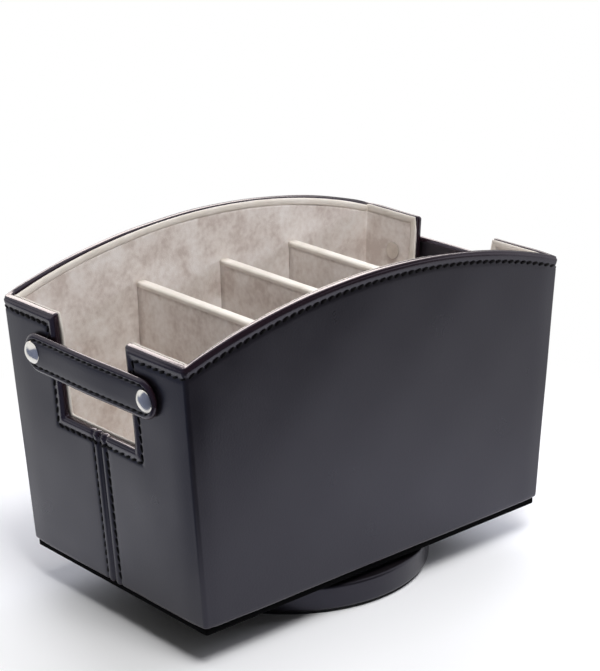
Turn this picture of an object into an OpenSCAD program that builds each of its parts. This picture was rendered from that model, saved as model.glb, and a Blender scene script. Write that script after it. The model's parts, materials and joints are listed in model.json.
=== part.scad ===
// Swivelling remote control holder: a leather-covered tub with flared walls, an arched rim,
// a notch and a riveted strap at each end, three dividers, and a round base on a ball swivel.
// Length runs along Y, the floor is z = 0, and the swivel axis is the Z axis.

/* [Tub] */
// Length of the tub at the foot of its walls
bottom_len = 200.8; // [160:1:260]
// Width of the tub at the foot of its walls
bottom_wid = 124.6; // [110:0.2:160]
// Height of an end wall, from the foot of the wall to the rim
end_height = 117; // [100:0.2:150]
// How far each end wall leans out over that height
end_flare = 8.3; // [2:0.1:14]
// How far each long wall leans out over that height
side_flare = 1.5; // [0:0.1:8]
// Rise of the arched rim from the ends to the middle of a long wall
arch_rise = 18.2; // [8:0.2:35]
// Radius of the four upright corners
corner_r = 2.5; // [2:0.1:6]

/* [Wall layers] */
// Thickness of the outer leather
leather_t = 1.2; // [0.8:0.1:2]
// Thickness of the stiffening board inside each wall
board_t = 2.2; // [1.5:0.1:4]
// Thickness of the suede lining
lining_t = 1.2; // [0.8:0.1:2.5]
// Width of the leather turned under the foot of the walls
hem_w = 12; // [6:0.5:20]
// Gap between the two leather panels at the seam in each end
seam_gap = 0.3; // [0.1:0.1:1]
// Depth of the groove where the panel edges roll into the seam
seam_groove = 0.6; // [0.2:0.1:0.8]
// Height of the cream edging inside the rim
edging_h = 4.5; // [2:0.5:8]
// How far the edging stands in from the lining
edging_proud = 0.5; // [0.2:0.1:1.5]
// How far the edging stays below the leather rim
edging_drop = 0.5; // [0.2:0.1:2]

/* [Floor] */
// Thickness of the floor board
floor_board_t = 2.2; // [1.5:0.1:4]
// Thickness of the suede-covered floor pad
floor_pad_t = 2; // [1:0.1:5]
// Thickness of the black board under the tub
bottom_board_t = 3; // [2:0.1:6]
// How far that board is set in from the foot of the walls
bottom_board_inset = 1.6; // [1:0.1:6]

/* [Notch and strap] */
// Width of the notch in each end wall
notch_w = 49.6; // [30:0.2:70]
// Depth of the notch below the end rim
notch_depth = 46; // [30:0.2:70]
// Radius in the bottom corners of the notch
notch_r = 1.2; // [0.8:0.1:5]
// Width of the strap across the notch
strap_w = 18; // [12:0.5:22]
// Thickness of the strap
strap_t = 3; // [1.5:0.1:4]
// Distance from the end rim down to the middle of the strap
strap_drop = 19.2; // [15:0.1:26]
// How far the middle of the strap bows out from the wall
strap_bow = 0.5; // [0.5:0.5:8]
// Distance from the edge of the notch to a rivet
rivet_inset = 14.5; // [10:0.5:18]
// Distance from a rivet to the tip of the strap
strap_end = 6.2; // [5.6:0.1:12]
// Radius of a rivet's domed cap
rivet_cap_r = 5.1; // [4:0.1:6]
// Height of a rivet's domed cap
rivet_cap_h = 2.2; // [1:0.1:3.5]
// Outer radius of a rivet's barrel
rivet_barrel_r = 2.4; // [2:0.1:3]
// Radius of the pin inside the barrel
rivet_pin_r = 1.5; // [1:0.1:1.8]

/* [Dividers] */
// Place of each divider along the tub, from the front to the rear
divider_y = [-36.5, 12, 54.5];
// Thickness of a divider with its suede cover
divider_t = 5; // [3.5:0.1:8]
// Thickness of the suede on each side of a divider
divider_cover_t = 1.2; // [0.6:0.1:1.5]
// Height of the dividers above the floor pad
divider_h = 103.4; // [60:0.2:110]

/* [Base] */
// Radius of the round base
base_r = 63.7; // [54:0.1:80]
// Height of the leather-covered base, with its foot pad
base_h = 12.9; // [10.5:0.1:20]
// Thickness of the foot pad
base_pad_t = 1.5; // [1:0.1:3]
// How far the foot pad is set in from the base's edge
base_pad_inset = 1.5; // [0.5:0.1:6]
// Depth of the pocket that holds the swivel
pocket_depth = 5.4; // [3:0.1:6]
// Gap between the base and the board above it
base_gap = 2.3; // [1.8:0.1:6]

/* [Swivel] */
// Side of the square swivel plates
plate_w = 72; // [66:0.5:74]
// Corner radius of the plates
plate_corner_r = 6; // [3:0.5:8]
// Thickness of the plate steel
plate_t = 1; // [0.8:0.1:1.4]
// Distance from a plate's edges to its screw holes
plate_hole_inset = 7; // [5.5:0.5:9]
// Radius of the ball track
race_r = 19; // [16:0.5:20]
// Radius of a ball
ball_r = 1.5; // [1.2:0.1:1.7]
// Number of balls
ball_count = 20; // [12:1:24]
// Outer radius of the eyelet that joins the plates
eyelet_r = 6; // [4.5:0.1:8]
// Radial running clearance of the eyelet in the lower plate
eyelet_clearance = 0.06; // [0.03:0.01:0.1]
// Shank radius of the swivel's screws and bolts
screw_r = 1.9; // [1.5:0.1:2.5]

/* [Hidden] */
$fn = 64;

// Colours as the photo shows them
leather_colour = "#3a363b";
board_colour = "#9b8f7c";
suede_colour = "#c3b5a9";
cream_colour = "#f1ebe2";
black_colour = "#17161a";
nickel_colour = "#d9d9dc";
steel_colour = "#b4b7bb";

// A thin slice, for the ends of a tapered solid
slice_t = 0.01;
// Clearance round a piece that is dropped into place
fit_gap = 0.2;
// How far a cutting solid runs past what it cuts
over = 1;
// Facets on the corners of the tapered tub, and on the long arc of the rim
corner_fn = 32;
arch_fn = 360;

// Heights, from the floor up
board_z = base_h + base_gap;
foot_z = board_z + bottom_board_t;
floor_board_z = foot_z + leather_t;
lining_z = floor_board_z + floor_board_t;
floor_z = lining_z + floor_pad_t;
rim_z = foot_z + end_height;
peak_z = rim_z + arch_rise;
notch_z = rim_z - notch_depth;
strap_z = rim_z - strap_drop;

// Depths of the layers, in from the outer face of a wall
board_in = leather_t;
lining_in = board_in + board_t;
inner_in = lining_in + lining_t;
edging_in = inner_in + edging_proud;

// Half length and half width of the tub at a height
function half_len(z) = bottom_len / 2 + end_flare * (z - foot_z) / end_height;
function half_wid(z) = bottom_wid / 2 + side_flare * (z - foot_z) / end_height;

// The rim's arc goes through both ends and the peak
arch_half = half_len(rim_z);
arch_r = (arch_half * arch_half + arch_rise * arch_rise) / (2 * arch_rise);
end_angle = atan(end_flare / end_height);

// Strap and rivets, on the slope of an end wall
rivet_x = notch_w / 2 + rivet_inset;
strap_half = rivet_x + strap_end;
strap_flat_x = rivet_x - rivet_cap_r - 2;
wall_t = inner_in * cos(end_angle);
rivet_barrel_len = strap_t + wall_t / 2;
rivet_flange_r = rivet_cap_r - 1;
rivet_flange_t = 0.9;
rivet_shoulder_len = rivet_flange_t + wall_t + strap_t - rivet_barrel_len;
rivet_bore_len = rivet_barrel_len - rivet_cap_h / 2;
rivet_pin_len = rivet_bore_len - fit_gap;

// Swivel heights
pocket_z = base_h - pocket_depth;
plate_hole_xy = plate_w / 2 - plate_hole_inset;
upper_plate_z = board_z - plate_t;
mid_z = (pocket_z + board_z) / 2;
track_r = ball_r + 0.2;
track_depth = plate_t * 0.6;
race_half = track_r - track_depth;
ball_z = mid_z - (track_r - ball_r);
race_out_r = race_r + 4;
slope_r = race_out_r + (mid_z - race_half - plate_t - pocket_z);
eyelet_wall = 1.2;
eyelet_flange_r = eyelet_r + 3;
eyelet_play = 0.2;
cage_t = 1.1;
cage_w = 2 * ball_r + 2;
ball_gap = 0.1;
pocket_r = sqrt(2) * (plate_w / 2 - plate_corner_r) + plate_corner_r + 1.5;
head_r = screw_r + 1.6;
head_h = 1.4;
lower_screw_len = (pocket_z - base_pad_t) * 0.7 + plate_t;

// The tapered tub, with every face moved in by the same amount
module tub(inset) {
    r = max(corner_r - inset, 0.8);
    hull()
        for (z = [foot_z, peak_z + over], sx = [-1, 1], sy = [-1, 1])
            translate([sx * (half_wid(z) - inset - r), sy * (half_len(z) - inset - r), z])
                cylinder(r = r, h = slice_t, $fn = corner_fn);
}

// Everything from a height up
module above(z) {
    translate([-bottom_wid, -bottom_len, z])
        cube([2 * bottom_wid, 2 * bottom_len, peak_z]);
}

// Everything between two heights
module between(z_low, z_high) {
    translate([-bottom_wid, -bottom_len, z_low])
        cube([2 * bottom_wid, 2 * bottom_len, z_high - z_low]);
}

// Everything under the rim's arc, lowered by drop
module under_arch(drop) {
    rotate([90, 0, 90])
        linear_extrude(2 * bottom_wid, center = true)
            intersection() {
                translate([0, peak_z - arch_r]) circle(arch_r - drop, $fn = arch_fn);
                translate([-bottom_len, foot_z - over]) square([2 * bottom_len, 2 * peak_z]);
            }
}

// The notch through both end walls, made larger all round by grow, with the same small corners
module notch(grow) {
    w = notch_w / 2 + grow;
    r = notch_r;
    z = notch_z - grow;
    rotate([90, 0, 0])
        linear_extrude(2 * bottom_len, center = true) {
            translate([-w, z + r]) square([2 * w, peak_z]);
            translate([-w + r, z]) square([2 * (w - r), peak_z]);
            for (s = [-1, 1]) translate([s * (w - r), z + r]) circle(r);
        }
}

// The wall outline: the tub under its arch with its notches, all edges moved in by inset
module wall_region(inset, margin) {
    difference() {
        intersection() {
            tub(inset);
            under_arch(margin);
        }
        notch(margin);
    }
}

// Puts a thing made at the middle of the strap onto the end walls: y = 0 is the wall's face
module on_end(front) {
    mirror([0, front ? 0 : 1, 0])
        translate([0, -half_len(strap_z), strap_z])
            rotate([end_angle, 0, 0])
                children();
}

// A thing at each of one strap's two rivets, with z pointing out of the wall
module at_rivets(front) {
    on_end(front)
        for (s = [-1, 1])
            translate([s * rivet_x, 0, 0])
                rotate([90, 0, 0])
                    children();
}

// Holes for the rivets of one strap
module rivet_holes(front) {
    at_rivets(front)
        cylinder(r = rivet_barrel_r, h = 4 * inner_in, center = true);
}

// A thing at each of the four fixing holes of the swivel
module at_plate_holes() {
    for (sx = [-1, 1], sy = [-1, 1])
        translate([sx * plate_hole_xy, sy * plate_hole_xy, 0])
            children();
}

// Outer leather: skin, rolled rim and notch edges, and the hem under the walls
module leather_skin() {
    difference() {
        wall_region(0, 0);
        intersection() {
            wall_region(board_in, leather_t);
            above(floor_board_z);
        }
        intersection() {
            tub(lining_in);
            above(floor_board_z);
        }
        tub(hem_w);
        for (front = [true, false]) {
            rivet_holes(front);
            on_end(front)
                rotate([0, 0, 45])
                    cube([seam_groove * sqrt(2), seam_groove * sqrt(2), 4 * peak_z], center = true);
        }
    }
}

// One half of the leather, cut at the seams in the middle of both ends
module leather_panel(side) {
    color(leather_colour)
        intersection() {
            leather_skin();
            translate([side > 0 ? seam_gap / 2 : -seam_gap / 2 - bottom_wid, -bottom_len, 0])
                cube([bottom_wid, 2 * bottom_len, 2 * peak_z]);
        }
}

// The quarter of the tub's plan that belongs to one wall, mitred at the corners
module wall_sector(along_x, sign) {
    depth = max(corner_r, lining_in) + over;
    reach = 2 * depth;
    hull()
        for (z = [foot_z, peak_z + over]) {
            cx = half_wid(z) - depth;
            cy = half_len(z) - depth;
            translate([0, 0, z])
                linear_extrude(slice_t)
                    polygon(along_x
                        ? [[sign * cx, -cy], [sign * (cx + reach), -cy - reach],
                           [sign * (cx + reach), cy + reach], [sign * cx, cy]]
                        : [[-cx, sign * cy], [-cx - reach, sign * (cy + reach)],
                           [cx + reach, sign * (cy + reach)], [cx, sign * cy]]);
        }
}

// A stiffening board inside one wall
module wall_board(along_x, sign) {
    color(board_colour)
        difference() {
            intersection() {
                wall_region(board_in, leather_t);
                above(floor_board_z);
                wall_sector(along_x, sign);
            }
            tub(lining_in);
            if (!along_x) rivet_holes(sign < 0);
        }
}

// Suede on the inside of all four walls
module suede_lining() {
    color(suede_colour)
        difference() {
            intersection() {
                wall_region(lining_in, edging_drop + edging_h);
                above(lining_z);
            }
            tub(inner_in);
            for (front = [true, false]) rivet_holes(front);
        }
}

// Cream edging that finishes the lining along the rim and round the notches
module rim_edging() {
    color(cream_colour)
        difference() {
            wall_region(lining_in, edging_drop);
            intersection() {
                under_arch(edging_drop + edging_h);
                difference() {
                    above(foot_z - over);
                    notch(edging_drop + edging_h);
                }
            }
            tub(edging_in);
        }
}

// Suede-covered pad on the floor of the tub
module floor_pad() {
    color(suede_colour)
        intersection() {
            tub(inner_in + fit_gap);
            between(lining_z, floor_z);
        }
}

// Board that closes the tub, resting on the hem
module floor_board() {
    color(board_colour)
        difference() {
            intersection() {
                tub(lining_in);
                between(floor_board_z, lining_z);
            }
            at_plate_holes() {
                translate([0, 0, floor_board_z - over]) cylinder(r = screw_r, h = floor_board_t + 2 * over);
                translate([0, 0, lining_z - head_h]) cylinder(r = head_r, h = head_h + over);
            }
        }
}

// Card that fills the step inside the hem
module filler_card() {
    color(board_colour)
        difference() {
            intersection() {
                tub(hem_w + fit_gap);
                between(foot_z, floor_board_z);
            }
            at_plate_holes()
                translate([0, 0, foot_z - over]) cylinder(r = screw_r, h = leather_t + 2 * over);
        }
}

// Black board that closes the underside and carries the swivel
module bottom_board() {
    r = corner_r - 1;
    w = bottom_wid / 2 - bottom_board_inset - r;
    l = bottom_len / 2 - bottom_board_inset - r;
    color(black_colour)
        translate([0, 0, board_z])
            linear_extrude(bottom_board_t)
                difference() {
                    union() {
                        square([2 * w, 2 * (l + r)], center = true);
                        square([2 * (w + r), 2 * l], center = true);
                        for (sx = [-1, 1], sy = [-1, 1]) translate([sx * w, sy * l]) circle(r);
                    }
                    at_plate_holes() circle(screw_r);
                }
}

// A divider's outline: an upright slab that meets the lining on both sides
module divider_slab(y, thick, top) {
    intersection() {
        tub(inner_in);
        translate([-bottom_wid, y - thick / 2, floor_z])
            cube([2 * bottom_wid, thick, top - floor_z]);
    }
}

// Suede folded over the top of a divider's board
module divider_cover(i) {
    top = floor_z + divider_h;
    color(suede_colour)
        difference() {
            divider_slab(divider_y[i], divider_t, top);
            translate([-bottom_wid, divider_y[i] - divider_t / 2 + divider_cover_t, floor_z - over])
                cube([2 * bottom_wid, divider_t - 2 * divider_cover_t,
                      divider_h - divider_cover_t + over]);
        }
}

// Board inside a divider
module divider_board(i) {
    color(board_colour)
        divider_slab(divider_y[i], divider_t - 2 * divider_cover_t, floor_z + divider_h - divider_cover_t);
}

// How far the strap stands off the wall at x: flat at the rivets, one smooth wave between them
function bow(x) = abs(x) >= strap_flat_x ? 0 : strap_bow * (1 + cos(180 * x / strap_flat_x)) / 2;

// Strap across a notch
module strap(front) {
    steps = 48;
    xs = [for (i = [0 : steps]) strap_half * (2 * i / steps - 1)];
    color(leather_colour)
        on_end(front)
            difference() {
                intersection() {
                    linear_extrude(strap_w, center = true)
                        polygon(concat(
                            [for (x = xs) [x, -bow(x)]],
                            [for (i = [steps : -1 : 0]) [xs[i], -bow(xs[i]) - strap_t]]));
                    rotate([90, 0, 0])
                        linear_extrude(4 * (strap_t + strap_bow), center = true) {
                            square([2 * strap_half - strap_w, strap_w], center = true);
                            for (s = [-1, 1]) translate([s * (strap_half - strap_w / 2), 0])
                                circle(strap_w / 2);
                        }
                }
                for (s = [-1, 1])
                    translate([s * rivet_x, 0, 0])
                        rotate([90, 0, 0])
                            cylinder(r = rivet_barrel_r, h = 4 * strap_t, center = true);
            }
}

// Domed caps outside the strap, each with a hollow barrel through the wall
module rivet_caps(front) {
    dome_r = (rivet_cap_r * rivet_cap_r + rivet_cap_h * rivet_cap_h) / (2 * rivet_cap_h);
    color(nickel_colour)
        at_rivets(front)
            translate([0, 0, strap_t]) {
                rotate_extrude()
                    intersection() {
                        translate([0, rivet_cap_h - dome_r]) circle(dome_r, $fn = 2 * $fn);
                        square([rivet_cap_r, rivet_cap_h]);
                    }
                translate([0, 0, -rivet_barrel_len])
                    difference() {
                        cylinder(r = rivet_barrel_r, h = rivet_barrel_len);
                        translate([0, 0, -over])
                            cylinder(r = rivet_pin_r, h = rivet_bore_len + over);
                    }
            }
}

// Backs of the rivets: a flange on the lining and a pin up the barrel
module rivet_posts(front) {
    color(nickel_colour)
        at_rivets(front)
            translate([0, 0, -wall_t - rivet_flange_t]) {
                cylinder(r = rivet_flange_r, h = rivet_flange_t);
                cylinder(r = rivet_barrel_r, h = rivet_shoulder_len);
                cylinder(r = rivet_pin_r, h = rivet_shoulder_len + rivet_pin_len);
            }
}

// A square swivel plate, race side up: the flange lies at z = 0 and the ball race stands up to it
module swivel_plate(race_z, bore_r, hole_r) {
    difference() {
        union() {
            linear_extrude(plate_t)
                difference() {
                    union() {
                        square([plate_w, plate_w - 2 * plate_corner_r], center = true);
                        square([plate_w - 2 * plate_corner_r, plate_w], center = true);
                        for (sx = [-1, 1], sy = [-1, 1])
                            translate([sx * (plate_w / 2 - plate_corner_r), sy * (plate_w / 2 - plate_corner_r)])
                                circle(plate_corner_r);
                    }
                    circle(slope_r);
                }
            rotate_extrude(convexity = 4)
                difference() {
                    polygon([[bore_r, race_z - plate_t], [race_out_r, race_z - plate_t],
                             [slope_r, 0], [slope_r + plate_t, 0], [slope_r + plate_t, plate_t],
                             [race_out_r + plate_t, race_z], [bore_r, race_z]]);
                    translate([race_r, race_z + race_half]) circle(track_r);
                }
        }
        at_plate_holes()
            translate([0, 0, -over]) cylinder(r = hole_r, h = plate_t + 2 * over);
    }
}

// Lower plate, screwed down in the pocket of the base
module swivel_lower_plate() {
    color(steel_colour)
        translate([0, 0, pocket_z])
            swivel_plate(mid_z - race_half - pocket_z, eyelet_r + eyelet_clearance, screw_r);
}

// Upper plate, bolted to the bottom board
module swivel_upper_plate() {
    color(steel_colour)
        translate([0, 0, board_z])
            mirror([0, 0, 1])
                swivel_plate(board_z - mid_z - race_half, eyelet_r, screw_r);
}

// Hollow eyelet, flared over both plates, that turns with the upper one
module swivel_eyelet() {
    low = mid_z - race_half - plate_t - eyelet_play;
    high = mid_z + race_half + plate_t;
    color(steel_colour)
        difference() {
            union() {
                translate([0, 0, low - eyelet_wall / 2])
                    cylinder(r = eyelet_flange_r, h = eyelet_wall / 2);
                translate([0, 0, low - eyelet_wall / 2])
                    cylinder(r = eyelet_r, h = high - low + eyelet_wall);
                translate([0, 0, high])
                    cylinder(r = eyelet_flange_r, h = eyelet_wall / 2);
            }
            translate([0, 0, low - over])
                cylinder(r = eyelet_r - eyelet_wall, h = high - low + 3 * over);
        }
}

// Balls, lying in the lower plate's track
module swivel_balls() {
    color(nickel_colour)
        for (i = [0 : ball_count - 1])
            rotate([0, 0, i * 360 / ball_count])
                translate([race_r, 0, ball_z])
                    sphere(ball_r, $fn = 24);
}

// Ring that keeps the balls apart
module swivel_ball_cage() {
    color(cream_colour)
        translate([0, 0, ball_z - cage_t / 2])
            difference() {
                cylinder(r = race_r + cage_w / 2, h = cage_t);
                translate([0, 0, -over]) cylinder(r = race_r - cage_w / 2, h = cage_t + 2 * over);
                for (i = [0 : ball_count - 1])
                    rotate([0, 0, i * 360 / ball_count])
                        translate([race_r, 0, -over])
                            cylinder(r = ball_r + ball_gap, h = cage_t + 2 * over, $fn = 24);
            }
}

// Bolts from the floor board down into the upper plate
module swivel_upper_bolts() {
    color(steel_colour)
        at_plate_holes() {
            translate([0, 0, upper_plate_z - plate_t / 2])
                cylinder(r = screw_r, h = lining_z - head_h - upper_plate_z + plate_t / 2);
            translate([0, 0, lining_z - head_h]) cylinder(r = head_r, h = head_h);
        }
}

// Screws that hold the lower plate in the base
module swivel_lower_screws() {
    color(steel_colour)
        at_plate_holes() {
            translate([0, 0, pocket_z + plate_t - lower_screw_len])
                cylinder(r = screw_r, h = lower_screw_len);
            translate([0, 0, pocket_z + plate_t]) cylinder(r = head_r, h = head_h);
        }
}

// Round board of the base, with the swivel's pocket and a rebate for the cover's hem
module base_disc() {
    r = base_r - leather_t;
    color(board_colour)
        difference() {
            rotate_extrude($fn = 180)
                polygon([[0, base_pad_t], [pocket_r, base_pad_t], [pocket_r, base_pad_t + leather_t],
                         [r, base_pad_t + leather_t], [r, base_h - leather_t],
                         [pocket_r, base_h - leather_t], [pocket_r, pocket_z], [0, pocket_z]]);
            at_plate_holes()
                translate([0, 0, pocket_z + plate_t - lower_screw_len])
                    cylinder(r = screw_r, h = lower_screw_len + over);
        }
}

// Leather round the base, turned over its top and under its foot
module base_cover() {
    r = base_r - leather_t;
    color(leather_colour)
        rotate_extrude($fn = 180)
            difference() {
                translate([pocket_r, base_pad_t]) square([base_r - pocket_r, base_h - base_pad_t]);
                translate([pocket_r - over, base_pad_t + leather_t])
                    square([r - pocket_r + over, base_h - base_pad_t - 2 * leather_t]);
            }
}

// Thin black pad that the base stands on
module base_pad() {
    color(black_colour)
        cylinder(r = base_r - base_pad_inset, h = base_pad_t, $fn = 180);
}

leather_panel(-1);  // leather_panel_left
leather_panel(1);  // leather_panel_right
wall_board(false, -1);  // wall_board_front
wall_board(false, 1);  // wall_board_back
wall_board(true, -1);  // wall_board_left
wall_board(true, 1);  // wall_board_right
suede_lining();
rim_edging();
floor_pad();
floor_board();
filler_card();
bottom_board();
divider_cover(0);  // divider_cover_front
divider_cover(1);  // divider_cover_middle
divider_cover(2);  // divider_cover_rear
divider_board(0);  // divider_board_front
divider_board(1);  // divider_board_middle
divider_board(2);  // divider_board_rear
strap(true);  // strap_front
strap(false);  // strap_back
rivet_caps(true);  // rivet_caps_front
rivet_caps(false);  // rivet_caps_back
rivet_posts(true);  // rivet_posts_front
rivet_posts(false);  // rivet_posts_back
swivel_upper_plate();
swivel_upper_bolts();
swivel_eyelet();
swivel_lower_plate();
swivel_lower_screws();
swivel_balls();
swivel_ball_cage();
base_disc();
base_cover();
base_pad();
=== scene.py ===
# %% [markdown]
# Remote control holder in leather and suede.
#
# The real object is a box maker's piece: stiff boards, covered outside with dark leather and inside
# with suede, on a round base that lets it turn. Nearly everything seen is a thin skin that bends
# round an edge. So this lesson draws one map of the wall, from "how far round" and "how high" to a
# point in space, and then makes every skin, roll, edging and stitch as a formula on that map.

# %% Frame and small tools
import json
import math

import bmesh
import bpy
import numpy as np
from mathutils import Matrix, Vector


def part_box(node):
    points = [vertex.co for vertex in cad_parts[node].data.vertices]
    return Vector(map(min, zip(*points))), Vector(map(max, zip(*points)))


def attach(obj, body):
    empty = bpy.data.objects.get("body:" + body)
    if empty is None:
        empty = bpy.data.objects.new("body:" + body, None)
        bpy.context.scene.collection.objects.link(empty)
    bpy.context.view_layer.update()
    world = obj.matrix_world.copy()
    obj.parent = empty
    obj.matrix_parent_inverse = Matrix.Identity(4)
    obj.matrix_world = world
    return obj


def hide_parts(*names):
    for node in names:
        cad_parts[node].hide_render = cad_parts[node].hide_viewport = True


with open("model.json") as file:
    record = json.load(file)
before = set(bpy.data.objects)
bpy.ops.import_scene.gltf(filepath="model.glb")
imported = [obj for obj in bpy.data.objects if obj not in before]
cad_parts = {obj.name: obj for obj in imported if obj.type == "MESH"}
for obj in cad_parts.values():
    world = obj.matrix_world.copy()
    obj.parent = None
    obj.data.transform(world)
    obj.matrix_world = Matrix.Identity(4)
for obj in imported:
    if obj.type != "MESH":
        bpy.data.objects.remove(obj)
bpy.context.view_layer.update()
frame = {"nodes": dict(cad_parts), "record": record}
MM = 0.001
print("frame nodes:", len(frame["nodes"]))


def node_box(name):
    """Lowest and highest corner of a node of the frame, in millimetres."""
    low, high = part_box(name)
    return np.array(low) / MM, np.array(high) / MM


# %% [markdown]
# The camera comes first. Its place was worked out from the photograph: it looks at the near long
# side and the notched end from a little above, through a long lens, which keeps the edges nearly
# parallel. A target point, two angles, a small roll and a distance say all of it.

# %% Camera
CAM_TARGET = np.array([-3.901, 10.468, 103.397])
CAM_AZIMUTH, CAM_ELEVATION, CAM_ROLL = 48.898, 19.429, -0.706
CAM_DISTANCE = 923.34
CAM_FOCAL_PX = 2042.6
PHOTO_HEIGHT_PX = 671
SENSOR_MM = 36.0


def camera_axes(azimuth, elevation, roll):
    """Right, up and back directions: back points from the target to the eye, and roll turns the other two."""
    a, e, r = np.radians([azimuth, elevation, roll])
    back = np.array([np.sin(a) * np.cos(e), -np.cos(a) * np.cos(e), np.sin(e)])
    right = np.cross(-back, [0, 0, 1.0])
    right /= np.linalg.norm(right)
    up = np.cross(right, -back)
    return right * np.cos(r) + up * np.sin(r), up * np.cos(r) - right * np.sin(r), back


lens = bpy.data.cameras.new("camera")
lens.sensor_width = SENSOR_MM
lens.lens = CAM_FOCAL_PX * SENSOR_MM / PHOTO_HEIGHT_PX
lens.clip_end = 50
camera = bpy.data.objects.new("camera", lens)
bpy.context.scene.collection.objects.link(camera)
right, up, back = camera_axes(CAM_AZIMUTH, CAM_ELEVATION, CAM_ROLL)
pose = np.eye(4)
pose[:3, 0], pose[:3, 1], pose[:3, 2] = right, up, back
pose[:3, 3] = (CAM_TARGET + back * CAM_DISTANCE) * MM
camera.matrix_world = Matrix(pose.tolist())
bpy.context.scene.camera = camera
print("camera lens, mm:", round(lens.lens, 1))

# %% [markdown]
# Materials next. Each starts from what the real one is. One small function adds a shader node with
# its settings and its links, and colours are written as sRGB hex and turned linear in one place.

# %% Colour and shader tools


def linear(hex_colour):
    """An sRGB hex colour as linear RGBA: a channel is divided by 12.92 near black, and follows a 2.4 power
    above."""
    srgb = np.array([int(hex_colour[i:i + 2], 16) for i in (1, 3, 5)]) / 255
    low, high = srgb / 12.92, ((srgb + 0.055) / 1.055) ** 2.4
    return (*np.where(srgb <= 0.04045, low, high).tolist(), 1.0)


def add(tree, kind, inputs=None, stops=(), **settings):
    """Adds one shader node. settings go on the node and inputs on its sockets, where a socket as a value
    makes a link. stops are the (place, hex colour) pairs of a colour ramp, which starts with two."""
    made = tree.nodes.new("ShaderNode" + kind)
    for name, value in settings.items():
        setattr(made, name, value)
    for name, value in (inputs or {}).items():
        if isinstance(value, bpy.types.NodeSocket):
            tree.links.new(value, made.inputs[name])
        else:
            made.inputs[name].default_value = value
    for _ in stops[2:]:
        made.color_ramp.elements.new(0.5)
    for k, (place, colour) in enumerate(stops):
        made.color_ramp.elements[k].position = place
        made.color_ramp.elements[k].color = linear(colour)
    return made


def new_material(name):
    """An empty node material, its node tree, and the tree's Object coordinates."""
    material = bpy.data.materials.new(name)
    material.use_nodes = True
    tree = material.node_tree
    tree.nodes.clear()
    return material, tree, add(tree, "TexCoord").outputs["Object"]


def per_metre(size_mm):
    """Pattern scale for Object coordinates, which are in metres: one cell in every size_mm millimetres."""
    return 1.0 / (size_mm * MM)


print("middle grey, linear:", round(linear("#808080")[0], 3))

# %% [markdown]
# Leather. The cover is a smooth coated leather: a pressed grain of cells under a millimetre, a satin
# top coat, and a colour between brown and black. The coat gives broad soft highlights, and the grain
# breaks them up. Where it is pulled over an edge it is thinner and shows more brown, so each leather
# piece carries an attribute named "edge" that says how near a rolled edge a point is.

# %% Leather
GRAIN_MM, PORE_MM, MOTTLE_MM = 0.8, 0.35, 26.0
LEATHER_DARK, LEATHER_LIGHT, LEATHER_EDGE = "#141114", "#1b181b", "#21151a"
# Roughness of the glossiest and the dullest patches, and of the rolled edges, which handling polishes
PATCH_GLOSSY, PATCH_DULL, EDGE_ROUGHNESS = 0.27, 0.36, 0.17
# Painted reflection colour: the top coat's mirror is tinted slightly blue, standing in for the cool light
# round the set
PAINTED_BLUE_REFLECTION_TINT, COAT_IOR = "#dfdff8", 1.56


def leather_material():
    """Coated leather: cell grain as bump, slow mottling in colour and gloss, browner at rolled edges."""
    material, tree, place = new_material("coated_leather")
    noise = add(tree, "TexNoise", {"Vector": place, "Scale": per_metre(MOTTLE_MM), "Detail": 3.0})
    mottle = noise.outputs["Fac"]
    grain = add(tree, "TexVoronoi", {"Vector": place, "Scale": per_metre(GRAIN_MM), "Randomness": 0.9},
                feature="SMOOTH_F1")
    pores = add(tree, "TexNoise", {"Vector": place, "Scale": per_metre(PORE_MM), "Detail": 2.0})
    edge = add(tree, "Attribute", attribute_name="edge").outputs["Fac"]
    body = add(tree, "ValToRGB", {"Fac": mottle}, stops=[(0.3, LEATHER_DARK), (0.7, LEATHER_LIGHT)])
    colour = add(tree, "Mix", {"Factor": edge, "A": body.outputs["Color"], "B": linear(LEATHER_EDGE)},
                 data_type="RGBA")
    satin = add(tree, "MapRange", {"Value": mottle, "From Min": 0.3, "From Max": 0.7,
                                   "To Min": PATCH_GLOSSY, "To Max": PATCH_DULL})
    rough = add(tree, "Mix", {"Factor": edge, "A": satin.outputs["Result"], "B": EDGE_ROUGHNESS})
    fine = add(tree, "Bump", {"Height": pores.outputs["Fac"], "Strength": 0.10, "Distance": 0.0001})
    bump = add(tree, "Bump", {"Height": grain.outputs["Distance"], "Strength": 0.14,
                              "Distance": 0.0002, "Normal": fine.outputs["Normal"]})
    # Specular Tint carries the painted blue reflection colour, which stands in for cool surrounding light
    shader = add(tree, "BsdfPrincipled", {
        "Base Color": colour.outputs["Result"], "Roughness": rough.outputs["Result"], "IOR": COAT_IOR,
        "Specular Tint": linear(PAINTED_BLUE_REFLECTION_TINT), "Normal": bump.outputs["Normal"]})
    add(tree, "OutputMaterial", {"Surface": shader.outputs["BSDF"]})
    return material


LEATHER = leather_material()
print("material:", LEATHER.name)

# %% [markdown]
# Suede. The lining is a brushed cloth with a short nap. The nap lies this way and that, which reads
# as soft blotches a centimetre or two wide, with a finer fleck inside them. It has no gloss at all,
# only a faint sheen at the edges of folds.

# %% Suede
NAP_MM, FLECK_MM, BLOTCH_MM = 0.45, 2.6, 15.0
FLECK_SHARE = 0.35
SUEDE_STOPS = [(0.36, "#cabdb5"), (0.5, "#dfd6cf"), (0.64, "#ece6e1")]


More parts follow.
